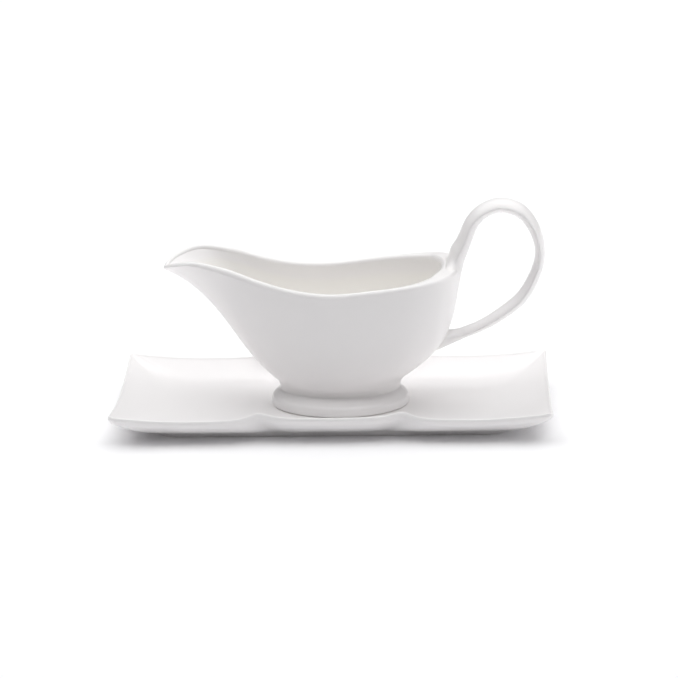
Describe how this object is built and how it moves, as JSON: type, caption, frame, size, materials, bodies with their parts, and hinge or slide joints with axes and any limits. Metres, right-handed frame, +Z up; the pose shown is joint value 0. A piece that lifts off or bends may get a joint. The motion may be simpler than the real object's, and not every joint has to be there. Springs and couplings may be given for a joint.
{
  "type": "gravy boat",
  "caption": "Glazed porcelain gravy boat with a beak spout, oval pedestal and high loop handle, standing on a rectangular tray with wavy edges.",
  "frame": {"origin": "centre of the tray's foot ring, on the surface that the tray stands on", "axes": "+X towards the handle (the spout points to -X), +Y across the boat, +Z up"},
  "size_m": [0.26, 0.134, 0.132],
  "materials": {
    "tray_porcelain": "glossy clear glaze over white porcelain",
    "boat_porcelain": "glossy clear glaze over white porcelain"
  },
  "bodies": {
    "tray": {"tray": "tray_porcelain"},
    "boat": {"boat_foot": "boat_porcelain", "boat_bowl": "boat_porcelain", "boat_handle": "boat_porcelain"}
  },
  "joints": [
    {"name": "boat_lift", "type": "slide", "parent": "tray", "child": "boat", "axis": [0, 0, 1], "range_m": [0, 0.16]}
  ]
}
